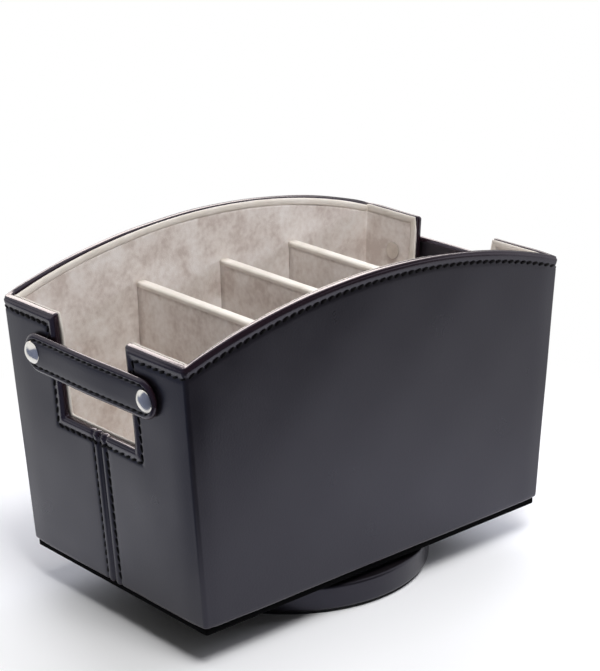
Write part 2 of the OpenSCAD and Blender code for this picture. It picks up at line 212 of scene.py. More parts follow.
def suede_material():
    """Brushed suede cloth: blotches where the nap turns, a fine fleck, fibre bump and a little sheen."""
    material, tree, place = new_material("brushed_suede")
    blotch = add(tree, "TexNoise", {"Vector": place, "Scale": per_metre(BLOTCH_MM), "Detail": 4.0,
                                    "Distortion": 0.6})
    fleck = add(tree, "TexNoise", {"Vector": place, "Scale": per_metre(FLECK_MM), "Detail": 3.0})
    nap = add(tree, "TexNoise", {"Vector": place, "Scale": per_metre(NAP_MM), "Detail": 2.0})
    both = add(tree, "Mix", {"Factor": FLECK_SHARE, "A": blotch.outputs["Fac"], "B": fleck.outputs["Fac"]})
    colour = add(tree, "ValToRGB", {"Fac": both.outputs["Result"]}, stops=SUEDE_STOPS)
    bump = add(tree, "Bump", {"Height": nap.outputs["Fac"], "Strength": 0.35, "Distance": 0.0003})
    shader = add(tree, "BsdfPrincipled", {
        "Base Color": colour.outputs["Color"], "Roughness": 0.95, "IOR": 1.4, "Sheen Weight": 0.25,
        "Sheen Roughness": 0.5, "Normal": bump.outputs["Normal"]})
    add(tree, "OutputMaterial", {"Surface": shader.outputs["BSDF"]})
    return material


SUEDE = suede_material()
print("material:", SUEDE.name)

# %% [markdown]
# Cream edging. The lining ends in a folded cream band along the rim, the notches and the dividers.
# It is a coated cloth: nearly smooth, with a faint weave, so it is the palest thing on the object.
# The real weave is under a millimetre and wouldn't show, so it is drawn some six times as coarse.

# %% Cream edging
WEAVE_MM, TINT_MM = 5.027, 9.0
# A wave texture takes one turn in this share of a unit
WAVE_TURN = 2 * math.pi / 20


def edging_material():
    """Cream coated cloth: two crossed wave patterns as a faint weave, and slow variation in colour."""
    material, tree, place = new_material("cream_edging_cloth")
    tint = add(tree, "TexNoise", {"Vector": place, "Scale": per_metre(TINT_MM), "Detail": 3.0})
    warp, weft = (add(tree, "TexWave", {"Vector": place, "Scale": WAVE_TURN * per_metre(WEAVE_MM),
                                        "Distortion": 0.4}, bands_direction=way) for way in "XZ")
    weave = add(tree, "Math", {0: warp.outputs["Fac"], 1: weft.outputs["Fac"]}, operation="MULTIPLY")
    colour = add(tree, "ValToRGB", {"Fac": tint.outputs["Fac"]}, stops=[(0.35, "#e2dbd1"), (0.65, "#ece6de")])
    bump = add(tree, "Bump", {"Height": weave.outputs["Value"], "Strength": 0.2, "Distance": 0.0002})
    shader = add(tree, "BsdfPrincipled", {"Base Color": colour.outputs["Color"], "Roughness": 0.9,
                                          "IOR": 1.15, "Normal": bump.outputs["Normal"]})
    add(tree, "OutputMaterial", {"Surface": shader.outputs["BSDF"]})
    return material


CREAM = edging_material()
print("material:", CREAM.name)

# %% [markdown]
# Metals, board, thread and foam. These are small or hidden, so one function makes them all: a base
# colour that varies a little, a roughness that varies with it, and a bump at a real grit size. The
# metals keep the default IOR, and only their roughness tells polish from plate.

# %% Small materials
GRIT_SPREAD = 0.05


def plain_finish(name, dark, light, grit_mm, roughness, bump=0.1, **sockets):
    """A finish with two close colours, mixed by noise of one grit size, which also moves its roughness.
    sockets are the shader's other inputs."""
    material, tree, place = new_material(name)
    grit = add(tree, "TexNoise", {"Vector": place, "Scale": per_metre(grit_mm), "Detail": 4.0}).outputs["Fac"]
    colour = add(tree, "ValToRGB", {"Fac": grit}, stops=[(0.3, dark), (0.7, light)])
    rough = add(tree, "MapRange", {"Value": grit, "From Min": 0.3, "From Max": 0.7,
                                   "To Min": roughness - GRIT_SPREAD, "To Max": roughness + GRIT_SPREAD})
    raised = add(tree, "Bump", {"Height": grit, "Strength": bump, "Distance": 0.0002})
    shader = add(tree, "BsdfPrincipled", {"Base Color": colour.outputs["Color"],
                                          "Roughness": rough.outputs["Result"],
                                          "Normal": raised.outputs["Normal"], **sockets})
    add(tree, "OutputMaterial", {"Surface": shader.outputs["BSDF"]})
    return material


# All finishes by the record's slots, and the thread, which has no slot
FINISHES = {
    "leather": LEATHER,
    "suede": SUEDE,
    "cream_tape": CREAM,
    "nickel": plain_finish("polished_nickel", "#d8d5cf", "#e6e4df", 4.0, 0.22, 0.02, Metallic=1.0),
    "zinc_steel": plain_finish("zinc_plated_steel", "#a9acb0", "#c2c5c9", 2.0, 0.38, Metallic=1.0),
    "ball_steel": plain_finish("bearing_steel", "#c4c6c9", "#d3d5d8", 6.0, 0.14, 0.0, Metallic=1.0),
    "nylon": plain_finish("natural_nylon", "#ddd8cb", "#e8e4d9", 3.0, 0.45),
    "greyboard": plain_finish("pressed_greyboard", "#8d8371", "#a39985", 0.9, 0.9, 0.4),
    "black_paper": plain_finish("black_coated_board", "#030304", "#070708", 1.2, 0.9, 0.15, IOR=1.15),
    "foot_foam": plain_finish("black_foam_sheet", "#0c0c0d", "#141415", 0.8, 0.85, 0.3),
    "thread": plain_finish("black_waxed_thread", "#040304", "#0b090b", 0.5, 0.7, 0.3, IOR=1.3)}
print("finishes:", len(FINISHES))

# %% [markdown]
# The map of the wall. The tub is a rounded rectangle that grows as it rises, because its walls lean
# out. A point on it is given by u, the distance round from the middle of the front end, measured at
# the rim, by its height z, and by its depth d in from the outer face. One function turns the three
# into a place, for the right half of the tub, and the left half is its mirror image.

# %% Wall sizes
BOTTOM_LEN, BOTTOM_WID = 200.8, 124.6
END_HEIGHT, END_FLARE, SIDE_FLARE = 117.0, 8.3, 1.5
ARCH_RISE, CORNER_R, INNER_R = 18.2, 2.5, 0.8
LEATHER_T, BOARD_T, LINING_T = 1.2, 2.2, 1.2
FOOT_Z = node_box("leather_panel_left")[0][2]
RIM_Z = FOOT_Z + END_HEIGHT
PEAK_Z = RIM_Z + ARCH_RISE
LINING_D = LEATHER_T + BOARD_T
INNER_D = LINING_D + LINING_T
# Up to here u is simply x, and from here to the corner it stretches with the flare
STRAIGHT_U = 50.0
# The end walls' tops slope with the arch, which fades out this far below the rim
SLOPE_FADE = 20.0
# Rounds that put a rim point's height back into its place
RIM_ROUNDS = 6


def half_len(z):
    """Half length of the tub: it grows in step with height above the foot."""
    return BOTTOM_LEN / 2 + END_FLARE * (z - FOOT_Z) / END_HEIGHT


def half_wid(z):
    """Half width of the tub: it grows in step with height above the foot."""
    return BOTTOM_WID / 2 + SIDE_FLARE * (z - FOOT_Z) / END_HEIGHT


CORNER_U = half_wid(RIM_Z) - CORNER_R
SIDE_U = CORNER_U + CORNER_R * math.pi / 2
MIDDLE_U = SIDE_U + half_len(RIM_Z) - CORNER_R
ARCH_HALF = half_len(RIM_Z)
ARCH_R = (ARCH_HALF ** 2 + ARCH_RISE ** 2) / (2 * ARCH_RISE)
print("round half the tub, mm:", round(2 * MIDDLE_U, 1))

# %% [markdown]
# The map itself has three stretches: half an end, a corner and half a side, and the back repeats them.
# The rim is a circle's arc in side view. The map has to know it too, because the end walls' tops are
# cut along that arc, so that they slope inwards.

# %% Wall map


def arch(y, drop=0.0):
    """Height of the rim's arc at y, or of the arc that lies drop inside it."""
    return PEAK_Z - ARCH_R + np.sqrt((ARCH_R - drop) ** 2 - y ** 2)


def wall(u, z, d=0.0):
    """Place of (u, z, d) on the right half: straight along the end, round the corner on an arc whose radius
    loses d but stays above INNER_R, and straight along the side. The corner moves out as the wall rises. Near
    the rim a point also rises by as much as the arch does on the way in from the outer face."""
    u, z, d = np.broadcast_arrays(np.asarray(u, float), z, d)
    front = u <= MIDDLE_U
    v = np.where(front, u, 2 * MIDDLE_U - u)
    radius = np.maximum(CORNER_R - d, INNER_R)
    cx, cy = half_wid(z) - d - radius, half_len(z) - d - radius
    along = (v - STRAIGHT_U) / (CORNER_U - STRAIGHT_U)
    x = np.where(v < STRAIGHT_U, v, STRAIGHT_U + along * (cx - STRAIGHT_U))
    x = np.where(v < CORNER_U, x, cx)
    y = np.where(v < SIDE_U, cy, cy * (MIDDLE_U - v) / (MIDDLE_U - SIDE_U))
    turn = np.clip((v - CORNER_U) / (SIDE_U - CORNER_U), 0, 1) * math.pi / 2
    x = x + radius * np.sin(turn)
    y = y + radius * np.cos(turn)
    outer_y = np.minimum(y + d * np.cos(turn) * (v < SIDE_U), half_len(z))
    near_rim = np.clip(1 + (z - arch(outer_y)) / SLOPE_FADE, 0, 1)
    z = z + near_rim * (arch(y) - arch(outer_y))
    return np.stack([x, np.where(front, -y, y), z], -1)


def rim_height(u, drop=0.0):
    """Height of the arched rim at u, lowered by drop: a circle through both ends and the peak, solved for the
    leaning wall by a few rounds of putting the height back into the place."""
    z = np.full(np.shape(u), RIM_Z)
    for _ in range(RIM_ROUNDS):
        z = arch(wall(u, z)[..., 1], drop)
    return z


print("rim, mm: ends", round(RIM_Z, 1), "peak", round(float(rim_height(np.array(MIDDLE_U))), 1))

# %% [markdown]
# The outline. Leather, lining and edging all end along the same line: across the bottom of the
# notch, up its side, and over the arch. Rings are drawn at growing distances inside that line, the
# way a tailor draws a seam allowance, and keep its tight corners. Every ring has the same number of
# points, so neighbouring rings join into a clean grid.

# %% Outline rings
NOTCH_HALF, NOTCH_R = 24.8, 1.2
NOTCH_Z = RIM_Z - 46.0
RIM_CORNER_R = 1.2
# Distance inside the outline at which the rings hand over to the plain wall
BAND = 9.0
SEAM_STEPS = np.array([0.3, 0.6, 0.9, 1.3, 2.0, 2.9, 3.6, 4.1, 4.5, 4.9, 5.4, 6.4, 8.4])
NOTCH_START, NOTCH_COUNT = 10.4, 8
UPRIGHT_STEPS, CORNER_STEPS, TURN_COUNT = 16, 8, 4
RIM_LIST = np.concatenate([
    np.linspace(NOTCH_HALF + RIM_CORNER_R, CORNER_U, 15)[:-1],
    np.linspace(CORNER_U, SIDE_U, 11)[:-1],
    np.linspace(SIDE_U, MIDDLE_U, 34)])
# Rim points near the notch slide along as its corner moves in
SLIDE = CORNER_U - NOTCH_HALF - RIM_CORNER_R


def half_ring(inset, start, square=False):
    """(u, z) points of the outline drawn inset further in, from the seam to the middle of the side."""
    radius = NOTCH_R
    centre = np.array([NOTCH_HALF + inset - radius, NOTCH_Z - inset + radius])
    low = np.concatenate([[start], SEAM_STEPS, np.linspace(NOTCH_START, centre[0], NOTCH_COUNT)])
    floor = np.stack([low, np.full(len(low), NOTCH_Z - inset)], -1)
    angle = np.linspace(-math.pi / 2, 0, CORNER_STEPS + 1)[1:]
    spoke = np.stack([np.cos(angle), np.sin(angle)], -1)
    if square:
        spoke = spoke / np.abs(spoke).max(1, keepdims=True)
    inner = centre + radius * spoke
    outer_r = max(RIM_CORNER_R - inset, 0.0)
    corner_u = NOTCH_HALF + inset + outer_r
    top = float(rim_height(np.array(corner_u), inset))
    rise = np.linspace(centre[1], top - outer_r, UPRIGHT_STEPS + 1)[1:]
    upright = np.stack([np.full(len(rise), NOTCH_HALF + inset), rise], -1)
    angle = np.linspace(math.pi, math.pi / 2, TURN_COUNT + 2)[1:-1]
    outer = np.array([corner_u, top - outer_r]) + outer_r * np.stack([np.cos(angle), np.sin(angle)], -1)
    shift = (corner_u - RIM_LIST[0]) * np.clip(1 - (RIM_LIST - RIM_LIST[0]) / SLIDE, 0, 1)
    u = RIM_LIST + shift
    rim = np.stack([u, rim_height(u, inset)], -1)
    return np.concatenate([floor, inner, upright, outer, rim])


def ring(inset, start, square=False):
    """The whole right-hand outline: the front half, then its mirror image to the back seam."""
    front = half_ring(inset, start, square)
    rear = front[:-1][::-1] * [-1, 1] + [2 * MIDDLE_U, 0]
    return np.concatenate([front, rear])


SEAM_COUNT = 1 + len(SEAM_STEPS) + NOTCH_COUNT
CORNER_INDEX = SEAM_COUNT + CORNER_STEPS // 2 - 1
TOP_INDEX = SEAM_COUNT + CORNER_STEPS + UPRIGHT_STEPS + TURN_COUNT
print("points in a ring:", len(ring(0.0, 0.15)))

# %% [markdown]
# Meshes. Everything here is laid out as grids, so one function numbers the faces of a grid, and
# another one turns points and faces into a finished piece: it closes the seams, turns the faces
# outwards, gives a sheet its thickness, and says which body the piece rides on.

# %% Grids and meshes
MERGE_MM = 0.002


def grid_faces(rows, columns, offset=0, wrap_rows=False, wrap_columns=False):
    """Four-sided faces of a grid numbered row by row: a wrapped way joins its last line to its first."""
    r = np.arange(rows if wrap_rows else rows - 1)[:, None]
    c = np.arange(columns if wrap_columns else columns - 1)[None, :]
    below, beside = (r + 1) % rows, (c + 1) % columns
    corners = [r * columns + c, r * columns + beside, below * columns + beside, below * columns + c]
    return offset + np.stack(np.broadcast_arrays(*corners), -1).reshape(-1, 4)


def make_piece(name, points, faces, finish, body="tub", stands_for=(), edge=None, thickness=0.0):
    """A smooth mesh from points in millimetres. Points closer than MERGE_MM become one, and a closed shape
    whose volume comes out negative is turned, so that its faces point outwards. A sheet gets its thickness on
    the side away from its normals. finish is a name in FINISHES, and the slot too if the record has it."""
    mesh = bpy.data.meshes.new(name)
    mesh.from_pydata(np.asarray(points, float) * MM, [], faces)
    if edge is not None:
        mesh.attributes.new("edge", "FLOAT", "POINT").data.foreach_set("value", edge.astype(np.float32))
    work = bmesh.new()
    work.from_mesh(mesh)
    bmesh.ops.remove_doubles(work, verts=work.verts, dist=MERGE_MM * MM)
    closed = all(e.is_manifold for e in work.edges)
    if closed and work.calc_volume(signed=True) < 0:
        bmesh.ops.reverse_faces(work, faces=work.faces)
    work.to_mesh(mesh)
    work.free()
    mesh.polygons.foreach_set("use_smooth", np.ones(len(mesh.polygons), bool))
    mesh.materials.append(FINISHES[finish])
    made = bpy.data.objects.new(name, mesh)
    bpy.context.scene.collection.objects.link(made)
    if thickness:
        solid = made.modifiers.new("thickness", "SOLIDIFY")
        solid.thickness = thickness * MM
        solid.offset = -1
    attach(made, body)
    if stands_for:
        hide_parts(*stands_for)
    print(name, "faces", len(mesh.polygons), "closed" if closed else "open")


# %% [markdown]
# From rings to a skin. A skin is a short profile carried along the outline: how far inside it, and
# how deep in the wall, each ring lies. Below the rings, plain rows run down to the foot, where a
# second profile turns the skin under. Rows and rings are laid out as grids of (u, z, d) first, so
# that waves and grooves can be added to them as plain arithmetic, and are placed in space last.

# %% Skins on the wall
WALL_ROWS, EDGE_FADE = 14, 5.5


def inward(across, depth):
    """Unit normals of a profile, pointing into the wall: its direction turned by a quarter."""
    a, b = np.gradient(np.asarray(across, float)), np.gradient(np.asarray(depth, float))
    size = np.hypot(a, b)
    return -b / size, a / size


def skin_grids(profile, foot, start):
    """Grids of (u, z, d, inset normal, depth normal, edge) for one half of a skin: the band of rings, the
    plain wall between the notches, and the rows from there to the foot. profile is (inset, depth) from the
    hidden end to the face, and foot is (height above the foot, depth) from the top down."""
    inset, depth = np.array(profile + [(BAND, profile[-1][1])], float).T
    rings = np.stack([ring(i, start) for i in inset[:-1]] + [ring(BAND, start, square=True)])
    n_inset, n_depth = inward(inset, depth)
    roll = np.clip(1.0 - inset / EDGE_FADE, 0, 1) + (depth > 1.0)
    extra = np.stack([depth, n_inset, n_depth, np.clip(roll, 0, 1)], -1)
    band = np.concatenate([rings, np.broadcast_to(extra[:, None], rings.shape[:2] + (4,))], -1)
    flat = np.array([depth[-1], 0.0, 1.0, 0.0])
    last = rings[-1]
    count = len(last)
    side = last[CORNER_INDEX:TOP_INDEX + 1, 1]
    share = ((side - side[0]) / (side[-1] - side[0]))[::-1, None]
    top = last[TOP_INDEX:count - TOP_INDEX]
    z = side[0] + share * (top[None, :, 1] - side[0])
    u = np.broadcast_to(top[None, :, 0], z.shape)
    beside = np.concatenate([np.stack([u, z], -1), np.broadcast_to(flat, z.shape + (4,))], -1)
    across = np.concatenate([last[:CORNER_INDEX, 0], top[:, 0], last[count - CORNER_INDEX:, 0]])
    heights, depths = np.array(foot, float).T
    n_up, n_in = inward(-heights, depths)
    rows = np.concatenate([np.linspace(side[0], heights[0] + FOOT_Z, WALL_ROWS + 1)[:-1],
                           heights + FOOT_Z])
    plain = np.broadcast_to(flat, (WALL_ROWS, 4))
    turned = np.stack([depths, n_up, n_in, np.clip(1.2 - heights / 1.5, 0, 0.7)], -1)
    facts = np.concatenate([plain, turned])
    place = np.stack(np.broadcast_arrays(across[None, :], rows[:, None]), -1)
    below = np.concatenate([place, np.broadcast_to(facts[:, None], place.shape[:2] + (4,))], -1)
    return [band, beside, below]


def skin_mesh(grids, push, side):
    """Points, faces and edge values of a half skin. push(u, z) moves it into the wall along its own normal.
    side is 1 for the right half, and -1 mirrors it, which also turns its faces round."""
    points, faces, edge, offset = [], [], [], 0
    for grid in grids:
        u, z, d, n_inset, n_depth, near = np.moveaxis(grid, -1, 0)
        # The hidden end of a roll faces the other way, and stays where it is
        deep = push(u, z) * np.clip(1 + n_depth, 0, 1)
        place = wall(u, z - deep * n_inset, d + deep * n_depth) * [side, 1, 1]
        quads = grid_faces(*grid.shape[:2], offset)
        points.append(place.reshape(-1, 3))
        faces.append(quads[:, ::-1] if side > 0 else quads)
        edge.append(near.ravel())
        offset += len(points[-1])
    return np.concatenate(points), np.concatenate(faces), np.concatenate(edge)


print("band and wall meet", BAND, "mm inside the outline")

# %% [markdown]
# The leather cover. Two panels wrap the tub from seam to seam: each is glued over the boards, rolled
# over the rim and the notch, and turned under the foot. A line of stitching runs round the edge in a
# shallow groove that the thread pulls into the leather. At the seams the two raw edges dive in side by
# side, and each has its own row of stitches. A sheet with a thickness is the natural mesh for it.

# %% Leather panels
SEAM_HALF, LEATHER_SHEET = 0.04, 1.0
# Rolled edge: from the raw end behind the board's top, over the rim, into the stitched groove
LEATHER_ROLL = [(2.8, 3.62), (1.6, 3.6), (0.8, 3.5), (0.28, 3.2), (0.05, 2.75), (0.0, 2.2), (0.0, 1.6),
                (0.06, 1.15), (0.2, 0.78), (0.42, 0.52), (0.72, 0.38), (1.02, 0.33), (1.28, 0.1),
                (1.6, -0.12), (2.1, -0.2), (2.7, -0.14), (3.4, 0.0), (4.1, 0.18), (4.6, 0.34),
                (5.0, 0.4), (5.3, 0.32), (5.7, 0.14), (6.3, 0.02), (7.2, 0.0), (8.2, 0.0)]
# Turned foot: down the wall, round the edge, and along the underside
LEATHER_FOOT = [(4.0, 0.0), (2.4, 0.0), (1.3, 0.06), (0.7, 0.22), (0.3, 0.5), (0.06, 0.95), (0.0, 1.5),
                (0.0, 3.0), (0.0, 6.4)]
# Along the seam: how far the leather lies in, at growing distances from it
SEAM_SHAPE = np.array([(0.0, 1.15), (0.3, 1.15), (0.6, 1.0), (0.9, 0.5), (1.3, -0.02), (2.0, -0.3),
                       (2.9, -0.3), (3.6, -0.08), (4.1, 0.3), (4.5, 0.5), (4.9, 0.34), (5.4, 0.08),
                       (6.4, -0.02), (8.4, 0.0)])
WAVE_MM, WAVE_DEEP = 47.0, 0.10
# The end panels are cushions, fullest half way from seam to corner, and the corner itself is eased.
# A cushion fades out below the strap over CUSHION_FADE, and keeps its least share at the foot
CUSHION_OUT, CUSHION_MID, CUSHION_HALF = 0.55, 33.0, 27.0
CUSHION_TOP, CUSHION_FADE, CUSHION_FOOT, CUSHION_LEAST = NOTCH_Z + 8, 24.0, 12.0, 0.3
EASE_IN, EASE_END, EASE_SIDE = 0.45, 13.0, 9.0


def cushion(from_seam, z):
    """How far an end panel stands out: a parabola across it, which fades out below the strap."""
    bow = np.clip(1 - ((from_seam - CUSHION_MID) / CUSHION_HALF) ** 2, 0, 1)
    fade = np.clip((CUSHION_TOP - z) / CUSHION_FADE, 0, 1)
    return CUSHION_OUT * bow * fade * np.clip((z - FOOT_Z) / CUSHION_FOOT, CUSHION_LEAST, 1)


def corner_ease(from_seam):
    """How far the leather draws in at a corner: it grows with the square of the way in, from both sides."""
    before = np.clip((from_seam - CORNER_U + EASE_END) / EASE_END, 0, 1)
    after = np.clip((SIDE_U + EASE_SIDE - from_seam) / EASE_SIDE, 0, 1)
    return EASE_IN * np.minimum(before, after) ** 2


def leather_push(u, z):
    """How far the leather lies into the wall: the seam's own shape near both ends of u, the eased corner, and
    slow shallow waves, less the cushion of the end panels."""
    from_seam = np.minimum(u, 2 * MIDDLE_U - u)
    seam = np.interp(from_seam, *SEAM_SHAPE.T)
    wave = np.sin(2 * math.pi * u / WAVE_MM + 0.8) * np.sin(2 * math.pi * z / (1.3 * WAVE_MM) + u / 31)
    waves = WAVE_DEEP * (1 + wave) * np.clip((from_seam - 8) / 10, 0, 1)
    return seam + corner_ease(from_seam) - cushion(from_seam, z) + waves


leather_half = skin_grids(LEATHER_ROLL, LEATHER_FOOT, SEAM_HALF)
for side, name in ((-1, "left"), (1, "right")):
    points, faces, near = skin_mesh(leather_half, leather_push, side)
    make_piece(f"leather_cover_{name}", points, faces, "leather", stands_for=[f"leather_panel_{name}"],
               edge=near, thickness=LEATHER_SHEET)

# %% [markdown]
# The suede lining. It is cloth glued to the inside of the boards, so it follows the same map at the
# depth of the lining. The nap is in the material; the shape only adds shallow puckers, because glued
# cloth is never quite flat. It is one sheet all round, so both halves are merged along x = 0.

# %% Suede lining
LINING_BOTTOM = node_box("suede_lining")[0][2] - FOOT_Z
LINING_SHEET = 0.9


def lining_push(u, z):
    """Shallow puckers, towards the board only: a product of two slow waves, always positive."""
    first = np.sin(u / 9.0 + np.sin(z / 23.0))
    second = np.sin(z / 17.0 + 0.6 * np.sin(u / 13.0))
    return -0.10 * (1 + first * second) - 0.04


lining_half = skin_grids([(3.0, INNER_D), (5.0, INNER_D), (7.0, INNER_D)],
                         [(LINING_BOTTOM + 1, INNER_D), (LINING_BOTTOM, INNER_D)], 0.0)
points, faces, _ = skin_mesh(lining_half, lining_push, 1)
other_points, other_faces, _ = skin_mesh(lining_half, lining_push, -1)
make_piece("suede_walls", np.concatenate([points, other_points]),
           np.concatenate([faces, other_faces + len(points)])[:, ::-1], "suede", stands_for=["suede_lining"],
           thickness=LINING_SHEET)

# %% [markdown]
# The cream edging. A folded band closes the lining just inside the leather roll. It is a closed loop
# of (inset, depth), carried along the outline, so it is one tube without ends that goes up and down
# both notches and over both arches. Between it and the leather a narrow dark valley stays open.

# %% Cream edging
EDGING_LOOP = [(2.5, 3.74), (1.7, 3.76), (1.3, 3.9), (1.0, 4.2), (1.05, 4.55), (1.3, 4.8), (1.8, 4.93),
               (2.5, 4.94), (3.2, 4.88), (3.8, 4.76), (4.2, 4.6), (4.2, 4.44), (3.2, 4.3), (2.7, 3.95)]
# Deep in the notches the edging stands a little over the roll, along the sides it comes up by a share
# of that, and it stays low at the corners. It changes over these distances from notch, rim and corner
EDGING_RAISE, SIDE_SHARE, LEAST_SHARE = 1.4, 0.26, 0.1
FROM_NOTCH, TO_NOTCH, FROM_RIM, FROM_CORNER = 6.0, 4.0, 8.0, 12.0


def swept_loop(loop):
    """Points and faces of a closed profile carried round the whole outline, both halves. Every ring is mixed
    with one drawn EDGING_RAISE further out, by how near a notch a point lies."""
    lower = np.stack([ring(inset, 0.0) for inset, _ in loop])
    upper = np.stack([ring(inset - EDGING_RAISE, 0.0) for inset, _ in loop])
    count = lower.shape[1]
    from_seam = np.minimum(lower[..., 0], 2 * MIDDLE_U - lower[..., 0])
    near_notch = (NOTCH_HALF + FROM_NOTCH - from_seam) / TO_NOTCH
    share = np.clip(np.minimum(near_notch, (RIM_Z - lower[..., 1]) / FROM_RIM), LEAST_SHARE, 1)
    share = np.maximum(share, SIDE_SHARE * np.clip((from_seam - SIDE_U) / FROM_CORNER, 0, 1))
    rings = lower + share[..., None] * (upper - lower)
    depth = np.array([d for _, d in loop])[:, None]
    right_half = wall(rings[..., 0], rings[..., 1], depth)
    quads = grid_faces(len(loop), count, wrap_rows=True)
    points = np.concatenate([right_half.reshape(-1, 3), (right_half * [-1, 1, 1]).reshape(-1, 3)])
    return points, np.concatenate([quads, quads[:, ::-1] + len(points) // 2])


make_piece("cream_edging", *swept_loop(EDGING_LOOP), "cream_tape", stands_for=["rim_edging"])

# %% [markdown]
# Flat pieces with soft edges. The floor pad and the board under the tub are slabs with rounded
# corners. A plan outline is drawn at growing insets and heights, like the contour lines of a low hill,
# and the two flat faces close it.

# %% Slabs


def plan_ring(half_x, half_y, radius, steps=8):
    """A rounded rectangle: four quarter circles at the corners, joined by the straights between them."""
    angle = np.linspace(0, math.pi / 2, steps + 1)
    arc = np.stack([np.cos(angle), np.sin(angle)], -1) * radius
    quarters = [(1, 1), (-1, 1), (-1, -1), (1, -1)]
    parts = []
    for k, (sx, sy) in enumerate(quarters):
        corner = arc * [sx, sy] + np.array([sx * (half_x - radius), sy * (half_y - radius)])
        parts.append(corner if k % 2 == 0 else corner[::-1])
    return np.concatenate(parts)


def slab(size_at, z_low, z_high, edge_r):
    """Points and faces of a slab: size_at(z) gives half sizes and corner radius, and both edges are quarter
    rounds of edge_r."""
    angle = np.linspace(0, math.pi / 2, 5)
    inset = edge_r * (1 - np.cos(angle))
    rise = edge_r * (1 - np.sin(angle))
    levels_up = [(i, z_low + h) for i, h in zip(inset[::-1], rise[::-1])]
    levels_down = [(i, z_high - h) for i, h in zip(inset, rise)]
    rings = []
    for i, z in levels_up + levels_down:
        half_x, half_y, radius = size_at(z)
        flat = plan_ring(half_x - i, half_y - i, max(radius - i, 0.3))
        rings.append(np.column_stack([flat, np.full(len(flat), z)]))
    count = len(rings[0])
    quads = grid_faces(len(rings), count, wrap_columns=True).tolist()
    caps = [list(range(count))[::-1], [(len(rings) - 1) * count + k for k in range(count)]]
    return np.concatenate(rings), quads + caps


def pad_size(z):
    """The floor pad fills the tub with a small gap to the lining."""
    gap = INNER_D + 0.3
    return half_wid(z) - gap, half_len(z) - gap, INNER_R


def board_size(z):
    """The bottom board keeps one size at all heights."""
    low, high = node_box("bottom_board")
    return (high[0] - low[0]) / 2, (high[1] - low[1]) / 2, CORNER_R - 1


SLABS = [("suede_floor", "floor_pad", pad_size, 0.8, "suede"),
         ("underside_board", "bottom_board", board_size, 0.5, "black_paper")]
for name, node, size_at, edge_r, finish in SLABS:
    low, high = node_box(node)
    make_piece(name, *slab(size_at, low[2], high[2], edge_r), finish, stands_for=[node])

# %% [markdown]
# The dividers. Each is a board with suede folded over it, and a strip of the cream edging over its
# top. In section it is a tall slab with a rounded top, and the strip is a thin inverted U on it. Both
# sections are carried across the tub and end on the lining of the leaning side walls.

# %% Dividers
TAPE_DOWN = 2.2
TAPE_T = 0.35


def rounded_top(half, top, bottom, radius):
    """A section from foot to foot, as (y, z): up the side, round a quarter, flat over the middle, and the
    same mirrored on the way down."""
    angle = np.linspace(0, math.pi / 2, 6)
    arc = np.column_stack([half - radius + radius * np.cos(angle), top - radius + radius * np.sin(angle)])
    foot = np.column_stack([np.full(10, half), np.linspace(bottom, top - radius, 11)[:-1]])
    side = np.concatenate([foot, arc, [(half * 0.4, top), (0.0, top)]])
    return np.concatenate([side, side[::-1][1:] * [-1, 1]])


def across_tub(section, y, reach, steps=30):
    """A closed section of (y, z) carried across the tub: at each height it ends reach inside the wall."""
    share = np.linspace(-1, 1, steps + 1)[:, None]
    x = share * (half_wid(section[:, 1]) - reach)[None, :]
    points = np.stack(np.broadcast_arrays(x, y + section[None, :, 0], section[None, :, 1]), -1)
    count = len(section)
    quads = grid_faces(steps + 1, count, wrap_columns=True).tolist()
    caps = [list(range(count))[::-1], [steps * count + k for k in range(count)]]
    return points.reshape(-1, 3), quads + caps


for name in ("front", "middle", "rear"):
    low, high = node_box(f"divider_cover_{name}")
    y, half, top = (low[1] + high[1]) / 2, (high[1] - low[1]) / 2, high[2]
    body = rounded_top(half - TAPE_T * 0.5, top - TAPE_T, low[2], 0.9)
    make_piece(f"divider_suede_{name}", *across_tub(body, y, INNER_D - 0.1), "suede",
               stands_for=[f"divider_cover_{name}"])
    outer = rounded_top(half + 0.1, top, top - TAPE_DOWN, 1.1)
    inner = rounded_top(half + 0.1 - TAPE_T, top - TAPE_T, top - TAPE_DOWN, 0.9)
    tape = np.concatenate([outer, inner[::-1]])
    make_piece(f"divider_tape_{name}", *across_tub(tape, y, INNER_D - 0.05), "cream_tape")

# %% [markdown]
# The straps. A strap is two layers of leather, sewn face to back round their edge, so it is thick with
# a rounded edge, a groove under the stitches, and a slight pillow between them. Rings are drawn at
# growing distances from its outline: two straights and two half circles. The place on the sloping end
# wall is one formula: along, up the slope, and out from it.

# %% Strap sizes
END_ANGLE = math.atan(END_FLARE / END_HEIGHT)
STRAP_Z = RIM_Z - 19.2
STRAP_W, STRAP_T, STRAP_BOW = 18.0, 3.0, 0.5
RIVET_X = NOTCH_HALF + 14.5
STRAP_HALF = RIVET_X + 6.2
STRAP_FLAT_X = RIVET_X - 7.1
STRAP_R = STRAP_W / 2
STRAP_STRAIGHT = STRAP_HALF - STRAP_R
STRAP_STITCH, STRAP_ROUND = 2.8, 2.2
GROOVE_DEEP, GROOVE_WIDE, PILLOW = 0.55, 0.55, 0.15


def on_end(x, up, out, end):
    """Place of a point of the end wall's own frame: x across, up the slope, out from it; end is -1 or 1."""
    x, up, out = np.broadcast_arrays(x, up, out)
    y = half_len(STRAP_Z) + up * math.sin(END_ANGLE) + out * math.cos(END_ANGLE)
    return np.stack([x, end * y, STRAP_Z + up * math.cos(END_ANGLE) - out * math.sin(END_ANGLE)], -1)


def strap_bow(x):
    """How far the strap stands off: one wave of a cosine between the rivets, and nothing beyond it."""
    wave = STRAP_BOW * (1 + np.cos(math.pi * x / STRAP_FLAT_X)) / 2
    return np.where(np.abs(x) < STRAP_FLAT_X, wave, 0.0)


print("strap, mm:", 2 * STRAP_HALF, "by", STRAP_W)

